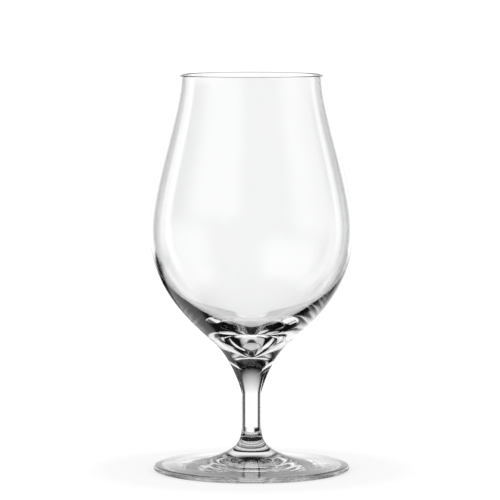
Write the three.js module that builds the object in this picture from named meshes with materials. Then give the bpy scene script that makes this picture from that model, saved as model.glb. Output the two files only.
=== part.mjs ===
// A short-stemmed tulip beer glass of clear crystal glass, in millimetres, with +Z up.
// It is made of three pieces that are fused together hot: a blown bowl with a thick base,
// a drawn stem with a flared head, and a pressed foot. The origin is the middle of the
// circle that the foot rests on.
import * as THREE from "three";

// Heights, stacked from the table up to the lip.
const footHeight = 20.2;
const stemStraightHeight = 14.6;
const stemHeadHeight = 13.6;
const bowlConeHeight = 9;
const bowlLowerHeight = 51.9;
const bowlUpperHeight = 69.7;

// Outside diameters.
const rimDiameter = 64.7;
const bellyDiameter = 92;
const coneDiameter = 33.1;
const stemDiameter = 8.8;
const footDiameter = 88.4;

// Thicknesses of the glass.
const rimWall = 1.4;
const bellyWall = 1.7;
const bowlBaseThickness = 6;
const footEdgeThickness = 2.5;

// The inside of the bowl narrows to a knee, and then dips like a funnel to the middle of the floor.
const innerKneeDiameter = 29.7;
const innerKneeHeight = 9.8;

// The underside of the foot: the flat ring that touches the table, and the hollow inside it.
const footRingWidth = 2.5;
const footHollowHeight = 2.4;

// Slopes from the horizontal, in degrees: the outside where the stem's flare turns into the
// bowl's cone, the inside at its knee, and the top of the foot at its edge.
const coneSlope = 41.4;
const innerKneeSlope = 30.6;
const footEdgeSlope = 5;

// How far each curve leads along the tangent at its end before it bends away.
const rimLead = 15.3;
const bellyUpperLead = 20.3;
const bellyLowerLead = 26.5;
const coneUpperLead = 15.7;
const coneLowerLead = 10;
const flareLead = 1.2;
const innerBellyLead = 22.9;
const innerKneeUpperLead = 18.3;
const innerKneeLowerLead = 9.6;
const innerFloorLead = 2.4;
const footCollarLead = 11.5;
const footTopLead = 32;

// Fineness of the faceted surface: steps round the axis, along a curve, and round a small edge.
const roundSteps = 64;
const curveSteps = 10;
const edgeSteps = 4;

// Levels where one stretch of the outline ends and the next begins.
const stemSeam = footHeight;
const flareBottom = stemSeam + stemStraightHeight;
const bowlSeam = flareBottom + stemHeadHeight;
const coneLevel = bowlSeam + bowlConeHeight;
const bellyLevel = coneLevel + bowlLowerHeight;
const lipLevel = bellyLevel + bowlUpperHeight;
const innerFloor = bowlSeam + bowlBaseThickness;

// An outline lies in the half plane beside the axis: a point is a radius and a height.
const point = (radius, height) => new THREE.Vector2(radius, height);
const onAxis = (height) => point(0, height);

// Directions in that half plane, the last one rising outward at a slope in degrees.
const up = point(0, 1);
const down = point(0, -1);
const outward = point(1, 0);
const sloping = (degrees) => outward.clone().rotateAround(point(0, 0), THREE.MathUtils.degToRad(degrees));

// The outside points where the pieces meet, and the widest points of the bowl.
const stemFootEdge = point(stemDiameter / 2, stemSeam);
const flareStart = point(stemDiameter / 2, flareBottom);
const cone = point(coneDiameter / 2, coneLevel);
const belly = point(bellyDiameter / 2, bellyLevel);
const innerBelly = point(belly.x - bellyWall, bellyLevel);
const innerKnee = point(innerKneeDiameter / 2, innerFloor + innerKneeHeight);

// A curve that leaves one point and arrives at another along two leads that point into it.
function leadingCurve(start, leave, leaveLead, end, arrive, arriveLead) {
  const leaving = start.clone().addScaledVector(leave, leaveLead);
  const arriving = end.clone().addScaledVector(arrive, arriveLead);
  return new THREE.CubicBezierCurve(start, leaving, arriving, end);
}

// How far along a rising curve a height is reached, found by halving.
function shareAtHeight(curve, height) {
  let low = 0;
  let high = 1;
  for (let halving = 0; halving < 40; halving += 1) {
    const middle = (low + high) / 2;
    if (curve.getPoint(middle).y < height) {
      low = middle;
    } else {
      high = middle;
    }
  }
  return low;
}

// Straight, leading, partial and round stretches of an outline, each as a list of points.
const straight = (start, end) => [start, end];

const leading = (...ends) => leadingCurve(...ends).getPoints(curveSteps);

function partOf(curve, from, to) {
  const shares = Array.from({ length: curveSteps + 1 }, (_, step) => from + ((to - from) * step) / curveSteps);
  return shares.map((share) => curve.getPoint(share));
}

function rounded(centre, radius, from, to) {
  return new THREE.EllipseCurve(centre.x, centre.y, radius, radius, from, to).getPoints(edgeSteps);
}

// The flare runs on from the stem's head into the bowl's cone, and the seam cuts it in two.
const flare = leadingCurve(flareStart, up, flareLead, cone, sloping(180 + coneSlope), coneLowerLead);
const seamShare = shareAtHeight(flare, bowlSeam);
const headFlare = partOf(flare, 0, seamShare);
const coneFlare = partOf(flare, seamShare, 1);

// A piece turned from stretches that follow one another from the axis, out, up and back to it.
function turned(name, stretches) {
  const outline = [];
  for (const stretch of stretches) {
    outline.push(...stretch.slice(outline.length > 0 ? 1 : 0));
  }
  const geometry = new THREE.LatheGeometry(outline, roundSteps);
  geometry.rotateX(Math.PI / 2);
  const clearGlass = new THREE.MeshStandardMaterial({
    color: 0xf1f5f5,
    roughness: 0.02,
    metalness: 0,
    transparent: true,
    opacity: 0.35,
  });
  const mesh = new THREE.Mesh(geometry, clearGlass);
  mesh.name = name;
  return mesh;
}

// The bowl: flat seam, thick base, belly, shoulder, rounded lip, and the hollow inside.
function makeBowl() {
  const lipRound = rimWall / 2;
  const lipMiddle = point(rimDiameter / 2 - lipRound, lipLevel - lipRound);
  const outerLip = point(lipMiddle.x + lipRound, lipMiddle.y);
  const innerLip = point(lipMiddle.x - lipRound, lipMiddle.y);
  const downTheKnee = sloping(180 + innerKneeSlope);
  return turned("bowl", [
    straight(onAxis(bowlSeam), coneFlare[0]),
    coneFlare,
    leading(cone, sloping(coneSlope), coneUpperLead, belly, down, bellyLowerLead),
    leading(belly, up, bellyUpperLead, outerLip, down, rimLead),
    rounded(lipMiddle, lipRound, 0, Math.PI),
    leading(innerLip, down, rimLead, innerBelly, up, bellyUpperLead),
    leading(innerBelly, down, innerBellyLead, innerKnee, sloping(innerKneeSlope), innerKneeUpperLead),
    leading(innerKnee, downTheKnee, innerKneeLowerLead, onAxis(innerFloor), outward, innerFloorLead),
  ]);
}

// The stem: a short straight rod that flares into the head under the bowl.
function makeStem() {
  return turned("stem", [
    straight(onAxis(stemSeam), stemFootEdge),
    straight(stemFootEdge, flareStart),
    headFlare,
    straight(headFlare[curveSteps], onAxis(bowlSeam)),
  ]);
}

// The foot: a disc with a rounded edge, hollowed underneath and drawn up into the stem.
function makeFoot() {
  const edgeRound = footEdgeThickness / 2;
  const edgeMiddle = point(footDiameter / 2 - edgeRound, edgeRound);
  const edgeEnd = Math.PI / 2 - THREE.MathUtils.degToRad(footEdgeSlope);
  const edge = rounded(edgeMiddle, edgeRound, -Math.PI / 2, edgeEnd);
  const ringInner = point(edgeMiddle.x - footRingWidth, 0);
  const hollowLead = point(ringInner.x / 2, footHollowHeight);
  const hollow = new THREE.QuadraticBezierCurve(onAxis(footHollowHeight), hollowLead, ringInner);
  const upTheTop = sloping(180 - footEdgeSlope);
  return turned("foot", [
    hollow.getPoints(curveSteps),
    straight(ringInner, edge[0]),
    edge,
    leading(edge[edgeSteps], upTheTop, footTopLead, stemFootEdge, down, footCollarLead),
    straight(stemFootEdge, onAxis(stemSeam)),
  ]);
}

const glass = new THREE.Group();
glass.add(makeBowl(), makeStem(), makeFoot());

export default glass;
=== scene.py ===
"""A short-stemmed tulip beer glass of clear crystal: its bowl, stem and foot, in a bright studio."""

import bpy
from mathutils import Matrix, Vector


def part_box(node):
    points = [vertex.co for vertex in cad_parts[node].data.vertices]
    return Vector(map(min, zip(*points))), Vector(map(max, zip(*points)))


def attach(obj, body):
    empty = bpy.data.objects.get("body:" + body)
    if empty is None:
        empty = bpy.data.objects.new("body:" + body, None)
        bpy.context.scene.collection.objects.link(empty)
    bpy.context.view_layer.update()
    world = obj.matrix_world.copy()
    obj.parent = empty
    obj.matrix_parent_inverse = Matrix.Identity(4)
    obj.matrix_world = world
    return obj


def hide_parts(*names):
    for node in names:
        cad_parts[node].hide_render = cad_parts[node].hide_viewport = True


bl_info = {
    "name": "Tulip beer glass",
    "version": (1, 0, 0),
    "blender": (4, 5, 0),
    "location": "3D View > Sidebar > Beer Glass",
    "description": "Turns the bowl, stem and foot of a crystal beer glass and sets up a studio for it",
    "category": "Object",
}

import math
from collections import namedtuple

import bpy
from bpy.props import FloatProperty, FloatVectorProperty, IntProperty, PointerProperty
from mathutils import Vector

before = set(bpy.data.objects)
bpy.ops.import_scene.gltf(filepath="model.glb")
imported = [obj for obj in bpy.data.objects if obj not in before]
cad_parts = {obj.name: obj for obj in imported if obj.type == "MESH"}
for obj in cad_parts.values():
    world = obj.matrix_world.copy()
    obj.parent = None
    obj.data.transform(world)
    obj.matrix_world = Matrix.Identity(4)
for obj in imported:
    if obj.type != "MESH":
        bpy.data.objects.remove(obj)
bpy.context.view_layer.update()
BOWL_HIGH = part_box("bowl")[1]
STEM_LOW, STEM_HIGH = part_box("stem")
FOOT_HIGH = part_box("foot")[1]

BODY = "root"
MILLIMETRE = 0.001

# Turning: how often a stretch is halved to find a height on it, the distance at which doubled points
# are merged, and the angle above which an edge stays sharp.
HALVINGS = 50
MERGE_DISTANCE = 0.002 * MILLIMETRE
SMOOTH_ANGLE = math.radians(30)

# Seams: how near to its height a seam's face lies, and how upright the face's normal is.
SEAM_TOLERANCE = 0.01 * MILLIMETRE
SEAM_UPRIGHT = 0.99

# The crystal: how often the tint and the waves of fire polishing change in a metre, and the size of the
# waves that pressing leaves in the foot.
TINT_SCALE = 30.0
TINT_DETAIL = 1.0
POLISH_SCALE = 45.0
POLISH_DETAIL = 0.0
PRESSED_WAVE = 20 * MILLIMETRE

# The camera's sensor in millimetres, and how often light is followed through the glass and its seams.
SENSOR_WIDTH = 36
BOUNCES = 32
SEAM_BOUNCES = 64


def framed(name, description, metres):
    """A length whose default comes from the frame, in metres."""
    return FloatProperty(
        name=name,
        description=description,
        default=metres,
        min=0.0,
        unit="LENGTH",
        precision=5,
    )


def length(name, description, millimetres):
    """A length whose default is given in millimetres."""
    return framed(name, description, millimetres * MILLIMETRE)


def angle(name, description, degrees):
    """An angle whose default is given in degrees."""
    return FloatProperty(
        name=name,
        description=description,
        default=math.radians(degrees),
        subtype="ANGLE",
    )


def colour(name, description, red_green_blue):
    """A colour of the light that goes through the glass."""
    return FloatVectorProperty(
        name=name,
        description=description,
        subtype="COLOR",
        size=4,
        default=(*red_green_blue, 1.0),
        min=0.0,
        max=1.0,
    )


class GlassSizes(bpy.types.PropertyGroup):
    """The outline of the glass: heights, radii, walls, and how far each curve leads from its ends."""

    lip_height: framed("Lip height", "Height of the top of the lip", BOWL_HIGH.z)
    belly_radius: framed("Belly radius", "Outside radius at the widest part", BOWL_HIGH.x)
    bowl_seam_height: framed("Bowl seam", "Height where the bowl is fused to the stem", STEM_HIGH.z)
    stem_seam_height: framed("Stem seam", "Height where the stem is fused to the foot", STEM_LOW.z)
    foot_radius: framed("Foot radius", "Outside radius of the foot", FOOT_HIGH.x)

    flare_bottom_height: length("Flare bottom", "Height where the straight stem ends", 34.8)
    cone_height: length("Cone height", "Height where the stem's flare turns into the bowl", 57.4)
    belly_height: length("Belly height", "Height of the widest part", 109.3)
    floor_height: length("Floor height", "Height of the lowest point inside the bowl", 54.4)
    knee_height: length("Knee height", "Height where the inside turns into the floor's funnel", 64.2)

    lip_radius: length("Lip radius", "Outside radius at the lip", 32.35)
    cone_radius: length("Cone radius", "Outside radius where the flare turns into the bowl", 16.55)
    knee_radius: length("Knee radius", "Inside radius where the floor's funnel begins", 14.85)
    stem_radius: length("Stem radius", "Radius of the straight stem", 4.4)

    lip_wall: length("Lip wall", "Thickness of the glass at the lip", 1.4)
    belly_wall: length("Belly wall", "Thickness of the glass at the belly", 1.7)
    foot_edge: length("Foot edge", "Thickness of the foot at its edge", 2.5)
    foot_ring: length("Foot ring", "Width of the flat ring that touches the table", 2.5)
    foot_hollow: length("Foot hollow", "Height of the hollow under the foot", 2.4)
    foot_ripple: length("Foot ripple", "Height of the faint waves in the foot's pressed faces", 0.3)

    cone_slope: angle("Cone slope", "Outside slope where the flare turns into the bowl", 41.4)
    knee_slope: angle("Knee slope", "Inside slope where the floor's funnel begins", 30.6)
    foot_slope: angle("Foot slope", "Slope of the foot's top at its edge", 5.0)

    lip_lead: length("Lip lead", "Lead of the wall below the lip", 15.3)
    belly_upper_lead: length("Belly upper lead", "Lead of the wall above the belly", 20.3)
    belly_lower_lead: length("Belly lower lead", "Lead of the outside below the belly", 26.5)
    cone_upper_lead: length("Cone upper lead", "Lead of the outside above the cone", 15.7)
    cone_lower_lead: length("Cone lower lead", "Lead of the flare below the cone", 10.0)
    flare_lead: length("Flare lead", "Lead of the flare above the straight stem", 1.2)
    inner_belly_lead: length("Inner belly lead", "Lead of the inside below the belly", 22.9)
    knee_upper_lead: length("Knee upper lead", "Lead of the inside above the knee", 18.3)
    knee_lower_lead: length("Knee lower lead", "Lead of the funnel below the knee", 9.6)
    floor_lead: length("Floor lead", "Lead of the funnel from the middle of the floor", 2.4)
    collar_lead: length("Collar lead", "Lead of the foot's collar below the stem", 11.5)
    foot_lead: length("Foot lead", "Lead of the foot's top from its edge", 32.0)

    turns: IntProperty(
        name="Turning steps",
        description="Steps round the axis of each turned piece",
        default=256,
        min=16,
    )
    curve_steps: IntProperty(
        name="Curve steps",
        description="Steps along each curve of an outline",
        default=32,
        min=4,
    )


class GlassFinish(bpy.types.PropertyGroup):
    """The clear crystal that all three pieces are made of."""

    tint: colour("Tint", "Colour of the light that the crystal lets through", (0.985, 0.99, 0.988))
    clear: colour("Clear", "Colour of the light where it is clearest", (0.996, 0.998, 0.997))
    waviness: length("Waviness", "Depth of the faint waves that fire polishing leaves", 0.008)
    refraction: FloatProperty(
        name="Refraction",
        description="Index of refraction of the crystal",
        default=1.558,
        min=1.0,
    )


class StudioSettings(bpy.types.PropertyGroup):
    """The camera and the table."""

    camera_distance: length("Camera distance", "Distance from the axis to the camera", 1640.0)
    camera_height: length("Camera height", "Height of the camera above the table", 241.3)
    camera_aim: length("Camera aim", "Height of the point that the camera looks at", 99.85)
    camera_offset: FloatProperty(
        name="Camera offset",
        description="How far the camera and its aim stand to the left of the axis",
        default=0.68 * MILLIMETRE,
        unit="LENGTH",
        precision=5,
    )
    camera_lens: FloatProperty(
        name="Lens",
        description="Focal length of the camera in millimetres",
        default=262.7,
    )
    table_radius: length("Table radius", "Radius of the pale round table", 150.0)
    # Painted shade: how bright the glow is that the glass sees for the table under its foot.
    painted_shade_level: FloatProperty(
        name="Table shade",
        description="How bright the glass sees the table under its foot",
        default=0.6,
        min=0.0,
    )


# Outlines: a point is a radius and a height, and a stretch is four control points of a cubic curve.
def point(radius, height):
    return Vector((radius, height))


def toward(slope):
    """The direction that rises outwards at a slope."""
    return point(math.cos(slope), math.sin(slope))


UP = point(0, 1)
DOWN = point(0, -1)
OUTWARD = point(1, 0)
QUARTER = math.pi / 2


def straight(start, end):
    return (start, start, end, end)


def bent(start, corner, end):
    """A curve that leaves one point and arrives at another on the way to and from one corner."""
    return (start, start.lerp(corner, 2 / 3), end.lerp(corner, 2 / 3), end)


def leading(start, leave, leave_lead, end, arrive, arrive_lead):
    """A curve between two points along two leads, which both point into the curve."""
    return (start, start + leave * leave_lead, end + arrive * arrive_lead, end)


def rounded(centre, radius, start, end):
    """An arc of up to a quarter of a circle between two angles, with the leads that fit a circle."""
    lead = 4 / 3 * math.tan((end - start) / 4) * radius
    first = centre + toward(start) * radius
    last = centre + toward(end) * radius
    return leading(first, toward(start + QUARTER), lead, last, toward(end - QUARTER), lead)


def split(stretch, share):
    """Cuts a stretch in two at a share of its parameter."""
    a, b, c, d = stretch
    ab, bc, cd = a.lerp(b, share), b.lerp(c, share), c.lerp(d, share)
    abc, bcd = ab.lerp(bc, share), bc.lerp(cd, share)
    middle = abc.lerp(bcd, share)
    return (a, ab, abc, middle), (middle, bcd, cd, d)


def split_at_height(stretch, height):
    """Cuts a rising stretch in two at a height, found by halving."""
    low, high = 0.0, 1.0
    for _ in range(HALVINGS):
        share = (low + high) / 2
        if split(stretch, share)[0][3].y < height:
            low = share
        else:
            high = share
    return split(stretch, low)


def flare(sizes):
    """The outside from the straight stem to the bowl's cone, cut at the seam of stem and bowl."""
    bottom = point(sizes.stem_radius, sizes.flare_bottom_height)
    cone = point(sizes.cone_radius, sizes.cone_height)
    down_cone = -toward(sizes.cone_slope)
    whole = leading(bottom, UP, sizes.flare_lead, cone, down_cone, sizes.cone_lower_lead)
    return split_at_height(whole, sizes.bowl_seam_height)


def turn_piece(name, stretches, sizes):
    """Draws an outline beside the axis from its stretches and spins it into a closed mesh."""
    bpy.ops.object.select_all(action="DESELECT")
    bpy.ops.curve.primitive_bezier_curve_add(location=(0, 0, 0))
    piece = bpy.context.object
    piece.name = name
    curve = piece.data
    curve.dimensions = "3D"
    curve.resolution_u = sizes.curve_steps
    knots = curve.splines[0].bezier_points
    knots.add(len(stretches) + 1 - len(knots))
    for knot in knots:
        knot.handle_left_type = "FREE"
        knot.handle_right_type = "FREE"
    for index, (start, leaving, arriving, end) in enumerate(stretches):
        here, there = knots[index], knots[index + 1]
        here.co = (start.x, 0, start.y)
        here.handle_right = (leaving.x, 0, leaving.y)
        there.co = (end.x, 0, end.y)
        there.handle_left = (arriving.x, 0, arriving.y)
        # A straight stretch needs no steps between its ends.
        if leaving == start and arriving == end:
            here.handle_right_type = "VECTOR"
            there.handle_left_type = "VECTOR"
    bpy.ops.object.convert(target="MESH")
    bpy.ops.object.mode_set(mode="EDIT")
    bpy.ops.mesh.select_all(action="SELECT")
    bpy.ops.mesh.spin(steps=sizes.turns, angle=math.tau, center=(0, 0, 0), axis=(0, 0, 1))
    bpy.ops.mesh.select_all(action="SELECT")
    bpy.ops.mesh.remove_doubles(threshold=MERGE_DISTANCE)
    bpy.ops.mesh.normals_make_consistent(inside=False)
    bpy.ops.object.mode_set(mode="OBJECT")
    bpy.ops.object.shade_smooth_by_angle(angle=SMOOTH_ANGLE)
    return bpy.context.object


def ripple(piece, inner, outer, depth):
    """Gives the foot's pressed faces faint waves, and leaves the seam, the ring and the edge true."""
    group = piece.vertex_groups.new(name="pressed")
    for vertex in piece.data.vertices:
        share = (vertex.co.xy.length - inner) / (outer - inner)
        if 0 < share < 1:
            group.add([vertex.index], math.sin(math.pi * share), "REPLACE")
    waves = bpy.data.textures.new("pressed_waves", "CLOUDS")
    waves.noise_scale = PRESSED_WAVE
    bpy.ops.object.modifier_add(type="DISPLACE")
    modifier = piece.modifiers[-1]
    modifier.texture = waves
    modifier.texture_coords = "LOCAL"
    modifier.direction = "Z"
    modifier.vertex_group = group.name
    modifier.strength = depth
    bpy.ops.object.modifier_apply(modifier=modifier.name)
    piece.vertex_groups.clear()


def shader_node(tree, kind, **settings):
    """Adds a node and sets its properties."""
    made = tree.nodes.new(kind)
    for name, value in settings.items():
        setattr(made, name, value)
    return made


def math_node(tree, operation, first, second=None):
    """Adds a math node on sockets or plain numbers, and returns its output."""
    made = shader_node(tree, "ShaderNodeMath", operation=operation)
    for socket, value in zip(made.inputs, (first, second)):
        if value is None:
            continue
        if isinstance(value, bpy.types.NodeSocket):
            tree.links.new(value, socket)
        else:
            socket.default_value = value
    return made.outputs["Value"]


def rising(tree, value, start, end):
    """A smooth step from 0 at start to 1 at end."""
    made = shader_node(tree, "ShaderNodeMapRange", interpolation_type="SMOOTHSTEP")
    tree.links.new(value, made.inputs["Value"])
    made.inputs["From Min"].default_value = start
    made.inputs["From Max"].default_value = end
    return made.outputs["Result"]


def between(tree, value, start, full, fading, end):
    """Rises from 0 to 1 between start and full, and falls back between fading and end."""
    risen = rising(tree, value, start, full)
    fallen = rising(tree, value, fading, end)
    return math_node(tree, "SUBTRACT", risen, fallen)


def noise(tree, place, scale, detail):
    """Noise round a place, with so many changes in a metre."""
    made = shader_node(tree, "ShaderNodeTexNoise")
    made.inputs["Scale"].default_value = scale
    made.inputs["Detail"].default_value = detail
    tree.links.new(place, made.inputs["Vector"])
    return made.outputs["Fac"]


def mixed(tree, share, first, second):
    """Goes over from one shader to another as a share rises from 0 to 1."""
    made = shader_node(tree, "ShaderNodeMixShader")
    tree.links.new(share, made.inputs["Fac"])
    tree.links.new(first, made.inputs[1])
    tree.links.new(second, made.inputs[2])
    return made.outputs["Shader"]


def crystal(name, finish):
    """Clear crystal, fire polished: a trace of tint that drifts, and a faintly wavy surface."""
    material = bpy.data.materials.new(name)
    material.use_nodes = True
    tree = material.node_tree
    shader = tree.nodes["Principled BSDF"]
    shader.inputs["Roughness"].default_value = 0.0
    shader.inputs["IOR"].default_value = finish.refraction
    shader.inputs["Transmission Weight"].default_value = 1.0
    place = shader_node(tree, "ShaderNodeTexCoord").outputs["Object"]
    tint = shader_node(tree, "ShaderNodeMix", data_type="RGBA")
    tint.inputs["A"].default_value = finish.tint
    tint.inputs["B"].default_value = finish.clear
    tree.links.new(noise(tree, place, TINT_SCALE, TINT_DETAIL), tint.inputs["Factor"])
    tree.links.new(tint.outputs["Result"], shader.inputs["Base Color"])
    polish = shader_node(tree, "ShaderNodeBump")
    polish.inputs["Strength"].default_value = 1.0
    polish.inputs["Distance"].default_value = finish.waviness
    tree.links.new(noise(tree, place, POLISH_SCALE, POLISH_DETAIL), polish.inputs["Height"])
    tree.links.new(polish.outputs["Normal"], shader.inputs["Normal"])
    return material


def fused_seam():
    """The inside of a fused seam, where glass meets glass and light goes straight on."""
    material = bpy.data.materials.get("fused_seam")
    if material is None:
        material = bpy.data.materials.new("fused_seam")
        material.use_nodes = True
        shader = material.node_tree.nodes["Principled BSDF"]
        shader.inputs["Alpha"].default_value = 0.0
    return material


def clear_seams(piece, heights):
    """Gives the flat faces of the fused seams a material that shows no joint."""
    seam_index = len(piece.data.materials)
    piece.data.materials.append(fused_seam())
    for face in piece.data.polygons:
        level = any(abs(face.center.z - height) < SEAM_TOLERANCE for height in heights)
        if level and abs(face.normal.z) > SEAM_UPRIGHT:
            face.material_index = seam_index


def finish_piece(piece, node):
    """Stands a finished piece in for its node in the frame."""
    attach(piece, BODY)
    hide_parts(node)


class GLASS_OT_bowl(bpy.types.Operator):
    """Turns the blown bowl with its thick base and rounded lip"""

    bl_idname = "glass.bowl"
    bl_label = "Bowl"

    def execute(self, context):
        sizes = context.scene.glass_sizes
        lip_round = sizes.lip_wall / 2
        lip = point(sizes.lip_radius - lip_round, sizes.lip_height - lip_round)
        outer_lip = lip + OUTWARD * lip_round
        inner_lip = lip - OUTWARD * lip_round
        belly = point(sizes.belly_radius, sizes.belly_height)
        inner_belly = point(sizes.belly_radius - sizes.belly_wall, sizes.belly_height)
        floor = point(0, sizes.floor_height)
        knee = point(sizes.knee_radius, sizes.knee_height)
        knee_up = toward(sizes.knee_slope)
        neck = flare(sizes)[1]
        cone = neck[3]
        cone_up = toward(sizes.cone_slope)
        piece = turn_piece(
            "bowl_crystal",
            [
                straight(point(0, sizes.bowl_seam_height), neck[0]),
                neck,
                leading(cone, cone_up, sizes.cone_upper_lead, belly, DOWN, sizes.belly_lower_lead),
                leading(belly, UP, sizes.belly_upper_lead, outer_lip, DOWN, sizes.lip_lead),
                rounded(lip, lip_round, 0, QUARTER),
                rounded(lip, lip_round, QUARTER, 2 * QUARTER),
                leading(inner_lip, DOWN, sizes.lip_lead, inner_belly, UP, sizes.belly_upper_lead),
                leading(
                    inner_belly, DOWN, sizes.inner_belly_lead, knee, knee_up, sizes.knee_upper_lead
                ),
                leading(knee, -knee_up, sizes.knee_lower_lead, floor, OUTWARD, sizes.floor_lead),
            ],
            sizes,
        )
        piece.data.materials.append(crystal("bowl_crystal", context.scene.glass_finish))
        clear_seams(piece, [sizes.bowl_seam_height])
        finish_piece(piece, "bowl")
        return {"FINISHED"}


class GLASS_OT_stem(bpy.types.Operator):
    """Turns the short drawn stem with its flared head"""

    bl_idname = "glass.stem"
    bl_label = "Stem"

    def execute(self, context):
        sizes = context.scene.glass_sizes
        head = flare(sizes)[0]
        bottom = point(sizes.stem_radius, sizes.stem_seam_height)
        piece = turn_piece(
            "stem_crystal",
            [
                straight(point(0, sizes.stem_seam_height), bottom),
                straight(bottom, head[0]),
                head,
                straight(head[3], point(0, sizes.bowl_seam_height)),
            ],
            sizes,
        )
        piece.data.materials.append(crystal("stem_crystal", context.scene.glass_finish))
        clear_seams(piece, [sizes.stem_seam_height, sizes.bowl_seam_height])
        finish_piece(piece, "stem")
        return {"FINISHED"}


class GLASS_OT_foot(bpy.types.Operator):
    """Turns the pressed foot with its collar, rounded edge and hollow underside"""

    bl_idname = "glass.foot"
    bl_label = "Foot"

    def execute(self, context):
        sizes = context.scene.glass_sizes
        edge_round = sizes.foot_edge / 2
        edge = point(sizes.foot_radius - edge_round, edge_round)
        lower_edge = rounded(edge, edge_round, -QUARTER, 0)
        upper_edge = rounded(edge, edge_round, 0, QUARTER - sizes.foot_slope)
        ring_inner = point(edge.x - sizes.foot_ring, 0)
        hollow = point(0, sizes.foot_hollow)
        hollow_corner = point(ring_inner.x / 2, sizes.foot_hollow)
        collar = point(sizes.stem_radius, sizes.stem_seam_height)
        up_foot = toward(2 * QUARTER - sizes.foot_slope)
        piece = turn_piece(
            "foot_crystal",
            [
                bent(hollow, hollow_corner, ring_inner),
                straight(ring_inner, lower_edge[0]),
                lower_edge,
                upper_edge,
                leading(upper_edge[3], up_foot, sizes.foot_lead, collar, DOWN, sizes.collar_lead),
                straight(collar, point(0, sizes.stem_seam_height)),
            ],
            sizes,
        )
        ripple(piece, sizes.stem_radius, ring_inner.x, sizes.foot_ripple)
        piece.data.materials.append(crystal("foot_crystal", context.scene.glass_finish))
        clear_seams(piece, [sizes.stem_seam_height])
        finish_piece(piece, "foot")
        return {"FINISHED"}


# The surround: each lit panel covers a range of azimuth and a range of elevation, in degrees. The four
# numbers of a range say where the panel starts to brighten, is full, starts to fade, and ends. Azimuth
# 0 lies straight behind the glass as the camera sees it, and grows to the right.
LitPanel = namedtuple("LitPanel", "name azimuth elevation level")
PANELS = (
    LitPanel("back", azimuth=(-17, -7, 15, 38), elevation=(-28, -24, -7, -4), level=1.1),
    LitPanel("upper back", azimuth=(-40, -24, 26, 38), elevation=(-12.5, -9.5, 6, 40), level=1.1),
    LitPanel("lower back", azimuth=(-36, -12, 14, 54), elevation=(-50, -40, -27, -21), level=0.88),
    LitPanel("left strip", azimuth=(-74, -69, -54, -49), elevation=(-27, -6, 36, 50), level=1.18),
    LitPanel("right strip", azimuth=(53, 58, 64, 69), elevation=(-40, -29, 18, 34), level=1.1),
    LitPanel("left", azimuth=(-145, -112, -72, -56), elevation=(-52, -44, -5, 10), level=0.85),
    LitPanel("low left", azimuth=(-70, -60, -20, -5), elevation=(-52, -44, -22, -17), level=0.66),
    LitPanel("right rear", azimuth=(80, 112, 152, 178), elevation=(-52, -40, -20, 4), level=0.9),
)
DARK_ROOM = 0.005

# The table as the camera sees it: matt, with a glow that leaves a faint shadow near the foot.
TABLE_STEPS = 96
TABLE_COLOUR = (0.92, 0.92, 0.92, 1)
TABLE_GLOW = 1.05
LEAST_GLOW_SHARE = 0.6
SHADOW_REACH = (20 * MILLIMETRE, 100 * MILLIMETRE)

# The table as the glass sees it: painted shade under the foot, a glow that stands in for the table
# shaded by the glass, out to where it ends for the glass. The glow is painted brighter for rays that
# are neither steep nor grazing, and nearly dark for the others. How far a ray leans over goes from 0,
# straight down, to 1.
PAINTED_SHADE_REACH = (46 * MILLIMETRE, 56 * MILLIMETRE)
PAINTED_GLOW_LEAN = (0.38, 0.5, 0.71, 0.83)
DARKEST_PAINTED_SHADE = 0.02


def studio_world(scene):
    """A dark room with lit panels that only the glass sees; camera and table see plain white."""
    world = bpy.data.worlds.new("studio_surround")
    scene.world = world
    world.use_nodes = True
    tree = world.node_tree
    background = tree.nodes["Background"]
    direction = shader_node(tree, "ShaderNodeTexCoord").outputs["Generated"]
    split_direction = shader_node(tree, "ShaderNodeSeparateXYZ")
    tree.links.new(direction, split_direction.inputs["Vector"])
    x, y, z = (split_direction.outputs[axis] for axis in "XYZ")
    azimuth = math_node(tree, "DEGREES", math_node(tree, "ARCTAN2", x, y))
    elevation = math_node(tree, "DEGREES", math_node(tree, "ARCSINE", z))
    light = DARK_ROOM
    for panel in PANELS:
        across = between(tree, azimuth, *panel.azimuth)
        along = between(tree, elevation, *panel.elevation)
        covered = math_node(tree, "MULTIPLY", across, along)
        lit = math_node(tree, "MULTIPLY", covered, panel.level)
        lit.node.label = panel.name
        light = math_node(tree, "MAXIMUM", lit, light)
    path = shader_node(tree, "ShaderNodeLightPath").outputs
    plain = math_node(tree, "MAXIMUM", path["Is Camera Ray"], path["Is Diffuse Ray"])
    seen = math_node(tree, "MAXIMUM", light, plain)
    tree.links.new(seen, background.inputs["Strength"])
    background.inputs["Color"].default_value = (1, 1, 1, 1)


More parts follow.
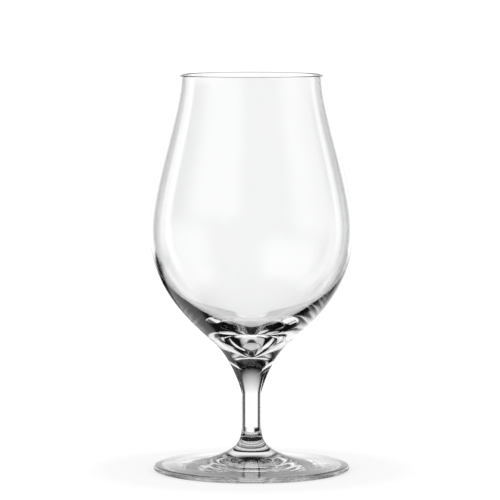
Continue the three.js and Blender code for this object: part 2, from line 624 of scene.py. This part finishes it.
def table_material(shade):
    """Pale matt table; under its foot the glass sees painted shade, a glow set by the ray's lean, and
    the panels beyond.
    """
    material = bpy.data.materials.new("pale_table")
    material.use_nodes = True
    tree = material.node_tree
    tree.nodes.clear()
    place = shader_node(tree, "ShaderNodeTexCoord").outputs["Object"]
    measure = shader_node(tree, "ShaderNodeVectorMath", operation="LENGTH")
    tree.links.new(place, measure.inputs[0])
    reach = measure.outputs["Value"]

    matt = shader_node(tree, "ShaderNodeBsdfDiffuse")
    matt.inputs["Color"].default_value = TABLE_COLOUR
    white = shader_node(tree, "ShaderNodeEmission")
    white.inputs["Strength"].default_value = TABLE_GLOW
    shadow_free = math_node(tree, "MAXIMUM", rising(tree, reach, *SHADOW_REACH), LEAST_GLOW_SHARE)
    plain = mixed(tree, shadow_free, matt.outputs["BSDF"], white.outputs["Emission"])

    # Painted shade and light for the glass: under the foot an emission, brighter for rays of middle
    # lean, stands in for the table that the glass shades.
    lean = shader_node(tree, "ShaderNodeLayerWeight").outputs["Facing"]
    lit = math_node(tree, "MULTIPLY", between(tree, lean, *PAINTED_GLOW_LEAN), shade)
    painted_shade_glow = shader_node(tree, "ShaderNodeEmission")
    tree.links.new(math_node(tree, "MAXIMUM", lit, DARKEST_PAINTED_SHADE), painted_shade_glow.inputs["Strength"])
    beyond = shader_node(tree, "ShaderNodeBsdfTransparent")
    past_foot = rising(tree, reach, *PAINTED_SHADE_REACH)
    under_glass = mixed(tree, past_foot, painted_shade_glow.outputs["Emission"], beyond.outputs["BSDF"])

    path = shader_node(tree, "ShaderNodeLightPath").outputs
    through = math_node(tree, "MAXIMUM", path["Is Glossy Ray"], path["Is Transmission Ray"])
    output = shader_node(tree, "ShaderNodeOutputMaterial")
    tree.links.new(mixed(tree, through, plain, under_glass), output.inputs["Surface"])
    return material


class GLASS_OT_stage(bpy.types.Operator):
    """Sets the table, the lit panels and the camera"""

    bl_idname = "glass.stage"
    bl_label = "Studio"

    def execute(self, context):
        scene = context.scene
        studio = scene.glass_studio
        scene.view_settings.view_transform = "Standard"
        scene.cycles.max_bounces = BOUNCES
        scene.cycles.transmission_bounces = BOUNCES
        scene.cycles.glossy_bounces = BOUNCES
        scene.cycles.transparent_max_bounces = SEAM_BOUNCES
        studio_world(scene)

        bpy.ops.object.select_all(action="DESELECT")
        bpy.ops.mesh.primitive_circle_add(
            vertices=TABLE_STEPS, radius=studio.table_radius, fill_type="NGON"
        )
        table = context.object
        table.name = "table"
        table.data.materials.append(table_material(studio.painted_shade_level))

        place = Vector((-studio.camera_offset, -studio.camera_distance, studio.camera_height))
        aim = Vector((-studio.camera_offset, 0, studio.camera_aim))
        turn = (aim - place).to_track_quat("-Z", "Y").to_euler()
        bpy.ops.object.camera_add(location=place, rotation=turn)
        camera = context.object
        camera.name = "camera"
        camera.data.lens = studio.camera_lens
        camera.data.sensor_width = SENSOR_WIDTH
        scene.camera = camera
        return {"FINISHED"}


class GLASS_PT_panel(bpy.types.Panel):
    """Lists the pieces of the glass and their sizes"""

    bl_idname = "GLASS_PT_panel"
    bl_label = "Beer Glass"
    bl_space_type = "VIEW_3D"
    bl_region_type = "UI"
    bl_category = "Beer Glass"

    def draw(self, context):
        layout = self.layout
        scene = context.scene
        for operator in OPERATORS:
            layout.operator(operator.bl_idname)
        for group in (scene.glass_sizes, scene.glass_finish, scene.glass_studio):
            box = layout.box()
            for name in group.__annotations__:
                box.prop(group, name)


OPERATORS = (GLASS_OT_stage, GLASS_OT_bowl, GLASS_OT_stem, GLASS_OT_foot)
CLASSES = (GlassSizes, GlassFinish, StudioSettings, *OPERATORS, GLASS_PT_panel)


def register():
    for each in CLASSES:
        bpy.utils.register_class(each)
    bpy.types.Scene.glass_sizes = PointerProperty(type=GlassSizes)
    bpy.types.Scene.glass_finish = PointerProperty(type=GlassFinish)
    bpy.types.Scene.glass_studio = PointerProperty(type=StudioSettings)


def unregister():
    del bpy.types.Scene.glass_studio
    del bpy.types.Scene.glass_finish
    del bpy.types.Scene.glass_sizes
    for each in reversed(CLASSES):
        bpy.utils.unregister_class(each)


def main():
    register()
    bpy.ops.glass.stage()
    bpy.ops.glass.bowl()
    bpy.ops.glass.stem()
    bpy.ops.glass.foot()


if __name__ == "__main__":
    main()
